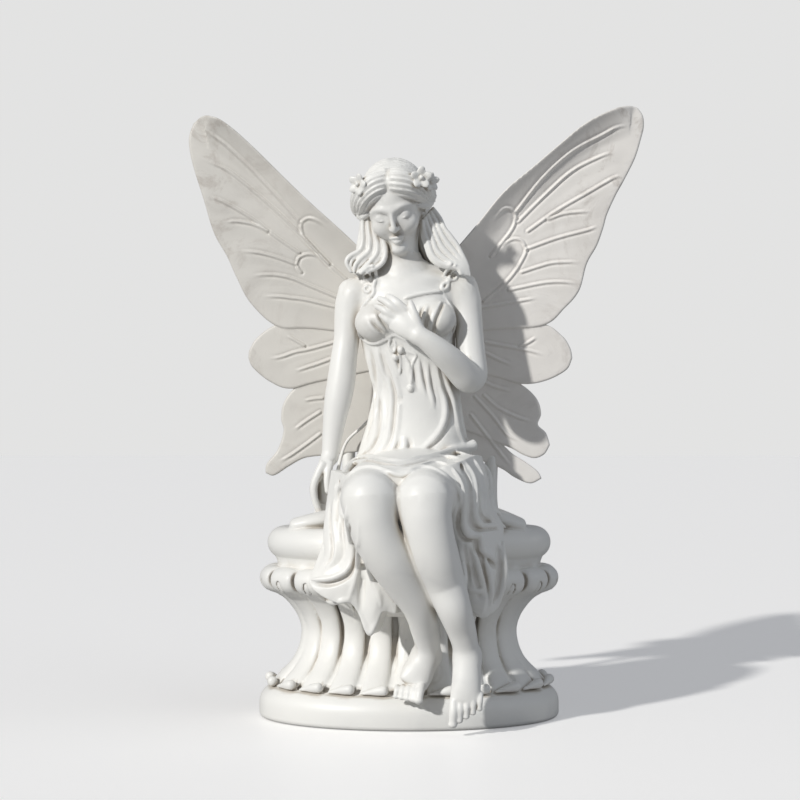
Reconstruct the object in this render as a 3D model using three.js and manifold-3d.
// Seated fairy statue in white marble: a woman with butterfly wings, on a scrolled oval seat and a plinth.
// Millimetres, +Z up. The figure looks along -Y, and the origin is the centre of the plinth's underside.
// The figure, its dress, the seat and the plinth are one carving. Each wing is a slab let into its back.

import * as THREE from "three";
import { mergeVertices } from "three/addons/utils/BufferGeometryUtils.js";
import Module from "manifold-3d";

// Plinth
const plinthWidth = 720;
const plinthDepth = 470;
const plinthHeight = 78;
const plinthTopRound = 40;
const plinthFootRound = 12;

// Seat: a stool of upright leaves that curl out at the top and at the foot, under a round cushion moulding
const seatHeight = 377;
const seatWidth = 682;
const seatDepth = 430;
const cushionHeight = 76;
const hollowHeight = 12;
const hollowInset = 24;
const leafCount = 22;
const leafCurl = 15;
const leafToeInset = 12;
const leafWaistInset = 90;
const leafRelief = 17;

// Figure: the crown's height over the seat sets the scale of the whole body
const crownHeight = 887;
const dressThickness = 60;

// Facets flatter than this are run together
const chiselTolerance = 6;

// Wings and what holds them
const wingRootDepth = 104;
const wingSweep = 0.05;
const wingThickness = 20;
const wingRim = 36;
const wingCentre = 15;
const wingTenon = 12;
const wingClearance = 0.3;
const spineWidth = 84;
const spineDepth = 78;
const spineHeight = 560;
const propWidth = 34;

// Worked out from the sizes above
const seatTop = plinthHeight + seatHeight;
const plinthFront = -plinthDepth / 2;
const seatFront = -seatDepth / 2;
const CARVED_CROWN = 887;
const CARVED_SEAT_FRONT = -215;
const body = crownHeight / CARVED_CROWN;

const wasm = await Module();
wasm.setup();

// Points of the pose. The body is measured over the seat's top and from its front edge,
// and the feet over the plinth and from its front edge.
const over = (x, y, z) =>
  new THREE.Vector3(x * body, seatFront + (y - CARVED_SEAT_FRONT) * body, seatTop + z * body);
const onPlinth = (x, y, z) => new THREE.Vector3(x * body, plinthFront + y * body, plinthHeight + z * body);

// Modelling helpers

// One closed body from rings of points, each end closed on its own middle.
function skin(rings) {
  const count = rings[0].length;
  const points = rings.flat();
  const faces = [];
  for (let r = 0; r + 1 < rings.length; r++)
    for (let i = 0; i < count; i++) {
      const a = r * count + i;
      const b = r * count + ((i + 1) % count);
      faces.push(a, b, b + count, a, b + count, a + count);
    }
  const close = (ring, start, flip) => {
    const middle = ring.reduce((sum, p) => sum.add(p), new THREE.Vector3()).divideScalar(count);
    points.push(middle);
    for (let i = 0; i < count; i++) {
      const a = start + i;
      const b = start + ((i + 1) % count);
      faces.push(points.length - 1, flip ? b : a, flip ? a : b);
    }
  };
  close(rings[0], 0, true);
  close(rings.at(-1), (rings.length - 1) * count, false);
  return solid(points, faces);
}

// A closed mesh as a solid, with its faces turned outwards.
function solid(points, faces) {
  let volume = 0;
  for (let i = 0; i < faces.length; i += 3) {
    const [a, b, c] = [points[faces[i]], points[faces[i + 1]], points[faces[i + 2]]];
    volume += a.dot(new THREE.Vector3().crossVectors(b, c));
  }
  const turned = [];
  for (let i = 0; i < faces.length; i += 3)
    turned.push(faces[i], faces[i + (volume < 0 ? 2 : 1)], faces[i + (volume < 0 ? 1 : 2)]);
  const geometry = new THREE.BufferGeometry().setFromPoints(points);
  geometry.setIndex(turned);
  return solidOf(geometry);
}

function solidOf(geometry) {
  geometry.deleteAttribute("normal");
  geometry.deleteAttribute("uv");
  const merged = mergeVertices(geometry, 1e-4);
  return new wasm.Manifold(
    new wasm.Mesh({
      numProp: 3,
      vertProperties: new Float32Array(merged.attributes.position.array),
      triVerts: new Uint32Array(merged.index.array),
    }),
  );
}

// The largest body alone: pockets shut in between the parts are stone.
const outerSkin = (made) =>
  made.decompose().reduce((most, one) => (one.volume() > most.volume() ? one : most));

const joined = (solids) => wasm.Manifold.union(solids);

// A rounded length of body, cloth or hair through stations { at, w, d }, w and d being half its width and
// half its depth there. fold(along, around) is added to the radius, for the ridges of cloth and hair.
function limb(stations, { sides = 8, front = [0, -1, 0], fold = null, cap = 0.8, start = 0 } = {}) {
  const path = new THREE.CatmullRomCurve3(stations.map((s) => s.at));
  const sizes = stations.map((s) => new THREE.Vector3(s.w * body, s.d * body, 0));
  const size = new THREE.CatmullRomCurve3(sizes);
  const last = stations.length - 1;
  const ahead = new THREE.Vector3(...front);
  const ring = (t, shrink, push) => {
    const tangent = path.getTangent(t);
    const side = new THREE.Vector3().crossVectors(tangent, ahead).normalize();
    const face = new THREE.Vector3().crossVectors(side, tangent).normalize();
    const { x: w, y: d } = size.getPoint(t);
    const middle = path.getPoint(t).addScaledVector(tangent, push * Math.min(w, d));
    return Array.from({ length: sides }, (_, i) => {
      const a = (2 * Math.PI * i) / sides;
      const extra = fold ? fold(t, a) * body : 0;
      return middle
        .clone()
        .addScaledVector(side, (w + extra) * shrink * Math.cos(a))
        .addScaledVector(face, (d + extra) * shrink * Math.sin(a));
    });
  };
  const rings = start ? [ring(0, 0.6, -start * 0.8)] : [];
  for (let k = 0; k <= last; k++) rings.push(ring(k / last, 1, 0));
  if (cap) rings.push(ring(1, 0.6, cap * 0.8));
  return skin(rings);
}

const station = (place, x, y, z, w, d = w) => ({ at: place(x, y, z), w, d });
const upper = (rows, options) => limb(rows.map((row) => station(over, ...row)), options);
const lower = (rows, options) => limb(rows.map((row) => station(onPlinth, ...row)), options);

// An egg shape with three radii.
function egg(at, radii, [across, up] = [7, 5]) {
  const ball = new THREE.SphereGeometry(1, across, up).scale(...radii.map((radius) => radius * body));
  return solidOf(ball.translate(...at.toArray()));
}

// A slab between a front sheet and a back sheet, each a function of u and v from 0 to 1.
function slab(front, back, columns, rows, backRows = 1) {
  const rings = [];
  for (let i = 0; i <= columns; i++) {
    const u = i / columns;
    const ring = [];
    for (let j = 0; j <= rows; j++) ring.push(front(u, j / rows));
    for (let j = backRows; j >= 0; j--) ring.push(back(u, j / backRows));
    rings.push(ring);
  }
  return skin(rings);
}

const through = (points) => new THREE.CatmullRomCurve3(points, false, "centripetal");

// Plinth and seat

// Level rings of one oval, each [inset from the oval's edge, height, share of the leaves' relief].
function ovalBody(width, depth, profile, points) {
  const rings = profile.map(([inset, height, relief = 0]) => {
    const oval = new THREE.EllipseCurve(0, 0, width / 2 - inset, depth / 2 - inset);
    return Array.from({ length: points }, (_, i) => {
      const share = i / points;
      const at = oval.getPointAt(share);
      const groove = Math.abs(Math.sin(Math.PI * leafCount * share)) - 1;
      const out = at.clone().normalize().multiplyScalar(groove * leafRelief * relief);
      return new THREE.Vector3(at.x + out.x, at.y + out.y, height);
    });
  });
  return skin(rings);
}

const leafBedding = 12;

function plinth() {
  const quarter = [0.45, 1].map((share) => (share * Math.PI) / 2);
  const foot = quarter.map((a) => [
    plinthFootRound * (1 - Math.sin(a)),
    plinthFootRound * (1 - Math.cos(a)),
  ]);
  const top = quarter.map((a) => [
    plinthTopRound * (1 - Math.cos(a)),
    plinthHeight - plinthTopRound * (1 - Math.sin(a)),
  ]);
  const side = [0, plinthHeight - plinthTopRound];
  return ovalBody(plinthWidth, plinthDepth, [[plinthFootRound, 0], ...foot, side, ...top], 30);
}

function stool() {
  const leafTop = seatHeight - cushionHeight - hollowHeight;
  const leaves = [
    [leafToeInset, -leafBedding, 1],
    [leafToeInset, leafTop * 0.12, 1],
    [leafWaistInset * 0.75, leafTop * 0.27, 0.7],
    [leafWaistInset, leafTop * 0.48, 0.6],
    [leafWaistInset * 0.5, leafTop * 0.68, 0.8],
    [-leafCurl, leafTop * 0.82, 1],
    [-leafCurl, leafTop * 0.93, 1],
    [hollowInset, leafTop, 0.6],
  ];
  const roll = [-90, -45, 0, 45, 90].map((degrees) => {
    const a = THREE.MathUtils.degToRad(degrees);
    const half = cushionHeight / 2;
    return [half * (1 - Math.cos(a)), seatHeight - half + half * Math.sin(a)];
  });
  return joined([
    ovalBody(seatWidth, seatDepth, leaves, leafCount * 2).translate(0, 0, plinthHeight),
    ovalBody(seatWidth, seatDepth, [[hollowInset, leafTop - 2], ...roll], 26).translate(0, 0, plinthHeight),
  ]);
}

// Body and dress

function torso() {
  const pleats = (t, a) => (t < 0.72 ? 4 * Math.sin(t * Math.PI) * Math.cos(11 * a) : 0);
  const trunk = upper(
    [
      [14, 45, -20, 160, 120],
      [14, 45, 80, 164, 122],
      [15, 38, 185, 136, 104],
      [17, 32, 245, 118, 92],
      [18, 26, 328, 104, 80],
      [2, 20, 425, 112, 82],
      [-6, 12, 492, 117, 80],
      [-6, 12, 545, 119, 72],
      [-6, 14, 582, 100, 60],
      [-9, 12, 606, 58, 50],
    ],
    { sides: 18, fold: pleats },
  );
  const shoulders = upper(
    [
      [-132, 16, 556, 40],
      [-70, 14, 588, 34],
      [-8, 12, 602, 42],
      [62, 14, 596, 34],
      [126, 16, 572, 40],
    ],
    { front: [0, 0, 1], sides: 8 },
  );
  const breast = (x, z) => egg(over(x, -48, z), [50, 46, 50], [9, 6]);
  const band = upper(
    [
      [-112, -10, 448, 6],
      [-84, -72, 438, 6],
      [-34, -78, 446, 6],
      [2, -76, 452, 6],
      [52, -80, 448, 6],
      [108, -18, 458, 6],
    ],
    { front: [0, 0, 1], sides: 5 },
  );
  const neck = upper(
    [
      [-10, 18, 590, 52],
      [-17, 4, 650, 44],
      [-22, 8, 730, 46],
    ],
    { sides: 10 },
  );
  return [trunk, shoulders, breast(-80, 484), breast(60, 492), band, neck];
}

function arms() {
  const down = upper([
    [-138, 14, 556, 38],
    [-146, 12, 520, 33],
    [-150, 8, 468, 30],
    [-158, 2, 400, 33],
    [-163, -1, 355, 35],
    [-171, -4, 305, 34],
    [-178, -6, 270, 31],
    [-185, -8, 215, 26],
    [-190, -10, 168, 21],
  ], { start: 0.8 });
  const raised = upper([
    [133, 16, 570, 38],
    [142, 12, 520, 35],
    [147, 4, 460, 34],
    [151, -4, 400, 35],
    [150, -14, 356, 36],
  ], { start: 0.8 });
  const forearm = upper([
    [152, -12, 356, 34],
    [118, -62, 378, 35],
    [78, -100, 412, 31],
    [46, -116, 436, 26],
    [22, -120, 452, 22],
  ]);
  return [down, raised, forearm, ...restingHand(), ...raisedHand()];
}

const finger = (rows, radius = 9) =>
  upper(rows.map((row, i) => [...row, radius * (1 - 0.14 * i)]), { sides: 5, cap: 0 });

// The hand that hangs and gathers a little of the dress.
function restingHand() {
  const palm = upper([
    [-190, -10, 168, 21, 20],
    [-200, -14, 138, 20, 30],
    [-208, -16, 108, 17, 34],
  ]);
  const fingers = [-44, -28, -12, 4].map((y, i) =>
    finger([
      [-210, y, 112],
      [-216 - i, y - 2, 82],
      [-212, y - 4, 54 + 3 * i],
      [-202, y - 6, 32 + 4 * i],
    ]));
  const thumb = finger([
    [-192, -34, 140],
    [-188, -48, 112],
    [-190, -54, 82],
  ], 11);
  return [palm, ...fingers, thumb];
}

// The hand laid on the breast.
function raisedHand() {
  const palm = upper([
    [22, -120, 452, 23, 17],
    [-2, -118, 474, 31, 15],
    [-26, -112, 494, 34, 13],
  ]);
  const tips = [
    [-50, -99, 546],
    [-70, -97, 541],
    [-77, -97, 523],
    [-66, -99, 501],
  ];
  const knuckles = [
    [-12, -114, 516],
    [-26, -114, 508],
    [-36, -112, 495],
    [-40, -110, 480],
  ];
  const fingers = knuckles.map((knuckle, i) => {
    const tip = tips[i];
    const bend = knuckle.map((value, axis) => (value + tip[axis]) / 2 - (axis === 1 ? 7 : 0));
    return finger([knuckle, bend, tip]);
  });
  const thumb = finger([
    [18, -124, 474],
    [14, -122, 508],
    [6, -108, 536],
  ], 11);
  return [palm, ...fingers, thumb];
}

function legs() {
  const leg = (rows, ankle) => limb(
    [...rows.map((row) => station(over, ...row)), ...ankle.map((row) => station(onPlinth, ...row))],
    { sides: 10 },
  );
  const thigh = (rows) => upper(rows, { front: [0, 0, 1], sides: 10 });
  return [
    thigh([[-60, 10, 90, 78], [-76, -170, 92, 74], [-87, -300, 84, 64], [-89, -352, 80, 60]]),
    leg(
      [[-90, -352, 84, 60, 58], [-86, -358, 40, 57, 55], [-52, -338, -40, 53, 56],
        [0, -300, -125, 46, 49]],
      [[32, -15, 165, 33, 35], [42, 28, 105, 28, 32]],
    ),
    thigh([[82, 10, 90, 78], [62, -170, 94, 74], [38, -300, 86, 64], [31, -352, 82, 60]]),
    leg(
      [[31, -352, 84, 61, 58], [36, -360, 40, 57, 55], [56, -344, -40, 52, 56],
        [84, -314, -125, 45, 50]],
      [[116, -60, 165, 34, 36], [130, -34, 105, 30, 32]],
    ),
  ];
}

// Toes side by side from the big one, which is at start.
function toes(place, start, step, reach) {
  return Array.from({ length: 5 }, (_, i) => {
    const root = start.map((value, axis) => value + step[axis] * i);
    const tip = root.map((value, axis) => value + reach[axis] * (1 - 0.09 * i));
    const r = i === 0 ? 12 : 9 - 0.5 * i;
    return limb([station(place, ...root, r), station(place, ...tip, r * 0.9)], { sides: 5 });
  });
}

function feet() {
  const standing = lower([
    [38, 60, 60, 30, 30],
    [34, 36, 92, 30, 38],
    [18, 10, 58, 35, 26],
    [4, -8, 30, 36, 15],
  ]);
  const hanging = lower([
    [134, 8, 92, 30, 30],
    [130, -32, 92, 32, 32],
    [127, -52, 40, 33, 26],
    [122, -62, -4, 36, 18],
  ]);
  return [
    standing,
    ...toes(onPlinth, [25, -10, 27], [-12.5, 3, -1], [-6, -26, -26]),
    hanging,
    ...toes(onPlinth, [99, -66, -10], [14.5, 2, 4], [-3, -6, -38]),
  ];
}

// The dress over the thighs, and the cloth that hangs from it down both sides of the seat.
function skirt() {
  const ripples = (t, a) => 4 * Math.cos(9 * a + 3 * t);
  const lap = upper([
    [18, 10, 92, 160, 100],
    [6, -90, 98, 154, 88],
    [-12, -190, 98, 142, 76],
    [-26, -280, 92, 130, 66],
    [-29, -334, 86, 118, 54],
  ], { front: [0, 0, 1], sides: 16, fold: ripples, cap: 0.2 });

  // A hanging length: a top edge, a hem, and folds that deepen towards the hem.
  const hanging = (top, hem, folds, phase, columns) => {
    const topEdge = through(top.map((p) => over(...p)));
    const hemEdge = through(hem.map((p) => over(...p)));
    const sheet = (inward) => (u, v) => {
      const at = topEdge.getPoint(u).lerp(hemEdge.getPoint(u), v);
      const out = new THREE.Vector3(at.x, at.y * (seatWidth / seatDepth) * 0.8, 0).normalize();
      const fold = (6 + 12 * v) * Math.sin(2 * Math.PI * folds * u + phase + 0.8 * v) * body;
      return at.addScaledVector(out, inward ? -dressThickness : fold);
    };
    return slab(sheet(false), sheet(true), columns, 3);
  };
  const left = hanging(
    [[-168, -90, 118], [-168, -180, 118], [-158, -240, 108], [-126, -278, 76], [-60, -262, 34],
      [20, -244, 20]],
    [[-250, -140, -96], [-244, -190, -120], [-196, -234, -158], [-140, -256, -164],
      [-92, -246, -237], [-60, -236, -178], [20, -226, -190]],
    4, 0.5, 16,
  );
  const right = hanging(
    [[20, -282, 70], [86, -312, 108], [122, -270, 126], [148, -210, 132], [172, -140, 128], [192, -50, 96]],
    [[44, -244, -190], [92, -264, -200], [128, -258, -206], [160, -238, -206], [194, -212, -170],
      [216, -186, -90], [236, -140, -10]],
    4, 1.2, 16,
  );
  const underLap = upper(
    [[-36, -150, 80, 140, 80], [-30, -160, -30, 136, 70], [-30, -170, -160, 100, 50]],
    { sides: 7, cap: 0 },
  );
  const spread = (rows) => upper(rows, { sides: 7, front: [0, 0, 1] });
  return [
    lap,
    underLap,
    left,
    right,
    spread([[-170, -60, 26, 40, 14], [-222, -72, 16, 46, 14], [-270, -70, 6, 40, 12]]),
    spread([[170, -70, 30, 60, 20], [214, -80, 20, 56, 18], [262, -78, 6, 42, 13]]),
    spread([[-208, -20, 44, 12, 14], [-214, -30, 20, 26, 14], [-210, -40, 0, 40, 20]]),
  ];
}

// Head and hair, modelled upright about the head's middle and then bowed and turned

const headMiddle = over(-36, -22, 776);
const headBow = 24;
const headTurn = -9;
const headTilt = -9;
const headPose = new THREE.Matrix4()
  .makeRotationFromEuler(
    new THREE.Euler(...[headBow, headTilt, headTurn].map(THREE.MathUtils.degToRad), "ZYX"),
  )
  .setPosition(headMiddle);
const onHead = (x, y, z) => new THREE.Vector3(x, y, z).multiplyScalar(body).applyMatrix4(headPose);

function head() {
  const part = (x, y, z, radii, [across, up]) => {
    const ball = new THREE.SphereGeometry(1, across, up).scale(...radii);
    return solidOf(ball.translate(x, y, z).scale(body, body, body).applyMatrix4(headPose));
  };
  const strand = (rows, options) => limb(rows.map((row) => station(onHead, ...row)), options);
  const jaw = strand(
    [[0, -14, -20, 60, 66], [0, -24, -58, 50, 58], [0, -38, -86, 32, 40], [0, -46, -98, 18, 24]],
    { sides: 10 },
  );
  const nose = strand([[0, -80, 8, 7, 7], [0, -86, -20, 8, 9], [0, -91, -36, 11, 9]], { sides: 6 });
  const mouth = part(0, -80, -66, [20, 9, 7], [6, 4]);
  return [part(0, 4, 10, [68, 88, 88], [9, 7]), jaw, nose, mouth, ...hair(part, strand), ...flowers()];
}

function hair(part, strand) {
  const waves = (t, a) => 3.5 * Math.cos(10 * a) * Math.sin(Math.PI * t);
  const halves = [-1, 1].map((s) =>
    strand(
      [[4 * s, -34, 90, 30, 24], [36 * s, -48, 72, 38, 28], [62 * s, -28, 42, 38, 32],
        [76 * s, 4, 8, 34, 34]],
      { fold: waves },
    ));
  const back = part(0, 24, 20, [82, 84, 88], [10, 6]);
  const rolls = [-1, 1].map((s) =>
    strand(
      [[58 * s, -52, 44, 15, 17], [77 * s, -30, 22, 18, 22], [84 * s, 2, 4, 18, 22], [70 * s, 30, 0, 16]],
      { sides: 7 },
    ));
  const lock = (rows, radii) => upper(rows.map((row, i) => [...row, ...radii[i]]), { sides: 5 });
  const nape = [[34, 20], [38, 22], [36, 20], [26, 14]];
  const tress = [[18, 18], [20, 18], [20, 18], [18, 15], [9, 8]];
  return [
    ...halves,
    back,
    ...rolls,
    upper(
      [[-30, 20, 840, 56, 44], [-22, 54, 780, 70, 44], [-8, 76, 700, 74, 38], [0, 82, 600, 76, 32],
        [6, 84, 500, 56, 20]],
      { sides: 12, fold: (t, a) => 4 * Math.cos(9 * a + 4 * t) },
    ),
    lock([[-84, 10, 736], [-86, 4, 690], [-96, 0, 640], [-116, 0, 606]], nape),
    lock([[40, 14, 740], [58, 10, 694], [84, 4, 650], [108, 0, 612]], nape),
    lock([[-96, -14, 742], [-97, -24, 700], [-102, -28, 666], [-124, -28, 640], [-142, -26, 612]], tress),
    lock([[-76, -24, 724], [-74, -36, 684], [-76, -42, 650], [-90, -44, 622], [-110, -42, 600]], tress),
    lock([[54, -14, 748], [70, -20, 712], [92, -22, 680], [114, -20, 648], [136, -16, 598]], tress),
    lock([[40, -22, 722], [48, -30, 684], [64, -36, 648], [90, -38, 620], [118, -38, 596]], tress),
  ];
}

// A flower: one rosette of five petals that rise round a small heart.
function flower(at, facing, radius) {
  const turn = new THREE.Quaternion().setFromUnitVectors(
    new THREE.Vector3(0, 0, 1),
    new THREE.Vector3(...facing).normalize(),
  );
  const rings = [
    [0.7, -0.7, 0],
    [1, 0.1, 0.28],
    [0.45, 0.42, 0.1],
    [0.22, 0.6, 0],
  ];
  return skin(
    rings.map(([reach, rise, notch]) =>
      Array.from({ length: 10 }, (_, i) => {
        const a = (Math.PI * i) / 5;
        const r = radius * body * (reach - (i % 2) * notch);
        const point = new THREE.Vector3(r * Math.cos(a), r * Math.sin(a), radius * body * rise);
        return point.applyQuaternion(turn).add(at);
      }),
    ),
  );
}

function flowers() {
  return [
    flower(onHead(-88, -44, 62), [-0.6, -0.7, 0.4], 20),
    flower(onHead(62, -62, 88), [0.4, -0.8, 0.4], 20),
    flower(onHead(88, -42, 62), [0.8, -0.6, 0.2], 18),
  ];
}

// Shoulder straps and the tied ribbon with its two tassels.
function trimmings() {
  const cord = (rows, radius) => upper(rows.map((row) => [...row, radius]), { sides: 5 });
  return [
    cord([[-80, -12, 604], [-76, -38, 584], [-80, -52, 556], [-80, -76, 526]], 10),
    cord([[100, -10, 592], [90, -36, 574], [84, -52, 550], [62, -82, 532]], 10),
    cord([[62, -84, 532], [26, -82, 522], [2, -78, 512]], 5),
    cord([[-12, -66, 448], [-18, -72, 424], [-6, -70, 408], [8, -70, 420], [2, -66, 442]], 8),
    cord([[-4, -66, 420], [10, -64, 392], [12, -58, 340]], 6),
    egg(over(12, -60, 334), [9, 9, 13], [6, 5]),
    cord([[10, -68, 436], [26, -66, 418], [22, -60, 396]], 6),
  ];
}

// Wings

// Each lobe is an upper and a lower edge, from the root to the tip, as [outward, height over the seat].
const WINGS = {
  left: {
    side: -1,
    lobes: [
      {
        upper: [[0, 552], [140, 694], [267, 811], [394, 936], [457, 990], [496, 1009], [520, 1010]],
        lower: [[0, 452], [235, 481], [328, 487], [396, 545], [432, 610], [455, 661], [489, 722],
          [515, 806], [541, 888], [552, 935], [552, 966]],
        tip: [541, 996],
      },
      {
        upper: [[0, 470], [235, 497], [328, 493], [378, 463], [399, 432]],
        lower: [[0, 396], [223, 351], [298, 333], [348, 350], [391, 385]],
        tip: [403, 410],
      },
      {
        upper: [[0, 420], [223, 365], [286, 335], [315, 297], [321, 258], [315, 227], [330, 181],
          [357, 146]],
        lower: [[0, 190], [119, 177], [198, 167], [233, 165], [266, 159], [301, 140], [338, 117]],
        tip: [360, 123],
      },
    ],
  },
  right: {
    side: 1,
    lobes: [
      {
        upper: [[0, 575], [125, 718], [204, 815], [284, 884], [347, 938], [411, 990], [479, 1026],
          [521, 1039]],
        lower: [[0, 452], [175, 478], [307, 490], [362, 534], [398, 578], [417, 644], [442, 689],
          [458, 733], [468, 768], [490, 816], [511, 854], [538, 908], [554, 956], [562, 988],
          [559, 1015]],
        tip: [545, 1036],
      },
      {
        upper: [[0, 470], [175, 498], [302, 496], [353, 467], [375, 436]],
        lower: [[0, 392], [175, 365], [252, 345], [312, 352], [365, 379]],
        tip: [381, 409],
      },
      {
        upper: [[0, 420], [175, 371], [247, 347], [290, 311], [303, 272], [295, 244], [315, 223]],
        lower: [[0, 250], [119, 226], [197, 197], [232, 183], [257, 169], [286, 160], [311, 170]],
        tip: [325, 193],
      },
      {
        upper: [[0, 320], [119, 250], [197, 201], [232, 171], [265, 150], [294, 128]],
        lower: [[0, 180], [119, 159], [168, 149], [209, 131], [237, 112], [275, 97]],
        tip: [305, 109],
      },
    ],
  },
};

// grow widens the slab on every side, for the slot that it sits in.
function wing({ side, lobes }, grow) {
  const place = (outward, height, behind) =>
    new THREE.Vector3(
      (wingCentre + side * (wingTenon + outward)) * body,
      (wingRootDepth + wingSweep * outward + behind) * body,
      seatTop + height * body,
    );
  const lobe = ({ upper: top, lower: bottom, tip }, index) => {
    const edge = (points) => through([...points, tip].map(([x, z]) => new THREE.Vector3(x, z, 0)));
    const [topEdge, bottomEdge] = [edge(top), edge(bottom)];
    const sheet = (front) => (u, v) => {
      const t = u * 0.985;
      const at = topEdge.getPoint(t).lerp(bottomEdge.getPoint(t), v);
      const spread = topEdge.getPoint(t).sub(bottomEdge.getPoint(t)).normalize();
      at.addScaledVector(spread, grow * (1 - 2 * v));
      if (u === 0) at.x -= grow;
      const rim = index === 0 ? (wingRim - wingThickness) * Math.max(0, 1 - v * 5) : 0;
      const hollow = 6 * Math.sin(Math.PI * v);
      const curl = (front ? rim * 1.5 : rim * 0.5) * Math.min(1, u * 4);
      const face = front ? -grow - curl + hollow * 0.5 : wingThickness + grow - curl;
      return place(at.x, at.y, 5 * index + face);
    };
    return slab(sheet(true), sheet(false), index ? 7 : 11, index ? 2 : 4);
  };
  return joined(lobes.map(lobe));
}

// What is left standing behind the figure: a spine pad that the wings are let into, and two props.
function wingBearers() {
  const spineBack = wingRootDepth + 50;
  const sizes = [spineWidth, spineDepth, spineHeight].map((size) => size * body);
  const middle = over(wingCentre, spineBack - spineDepth / 2, 10 + spineHeight / 2);
  const spine = solidOf(new THREE.BoxGeometry(...sizes).translate(...middle.toArray()));
  const prop = (x, top) =>
    upper(
      [[x, 142, -14, propWidth * 0.7, 22], [x, 142, 60, propWidth * 0.45, 19],
        [x, 146, top, propWidth * 0.5, 20]],
      { cap: 0 },
    );
  return [spine, prop(-150, 190), prop(206, 160)];
}

// Assembly

const marble = { roughness: 0.42, metalness: 0 };
const carvedMarble = new THREE.MeshStandardMaterial({ color: 0xece9e2, ...marble });
const wingMarble = new THREE.MeshStandardMaterial({ color: 0xdcd7cd, ...marble });

function mesh(name, made, material) {
  const { vertProperties, triVerts, numProp } = made.getMesh();
  const geometry = new THREE.BufferGeometry();
  const positions = new Float32Array((vertProperties.length / numProp) * 3);
  for (let i = 0; i < positions.length / 3; i++)
    positions.set(vertProperties.subarray(i * numProp, i * numProp + 3), i * 3);
  geometry.setAttribute("position", new THREE.BufferAttribute(positions, 3));
  geometry.setIndex(new THREE.BufferAttribute(triVerts, 1));
  geometry.computeVertexNormals();
  const object = new THREE.Mesh(geometry, material);
  object.name = name;
  return object;
}

// Each slot is the wing itself with the clearance round it.
const slots = joined(
  Object.values(WINGS).flatMap((one) => [
    wing(one, wingClearance),
    ...[-1, 1].map((way) => wing(one, 0).translate(0, way * wingClearance, 0)),
  ]),
);
const carvedForm = joined([
  stool(),
  ...torso(),
  ...arms(),
  ...legs(),
  ...feet(),
  ...skirt(),
  ...head(),
  ...trimmings(),
  ...wingBearers(),
]);
const onItsPlinth = plinth().add(carvedForm.simplify(chiselTolerance));
const carving = outerSkin(outerSkin(onItsPlinth).subtract(slots));

const statue = new THREE.Group();
statue.add(
  mesh("fairy_on_seat", carving, carvedMarble),
  mesh("left_wing", wing(WINGS.right, 0), wingMarble),
  mesh("right_wing", wing(WINGS.left, 0), wingMarble),
);

export default statue;
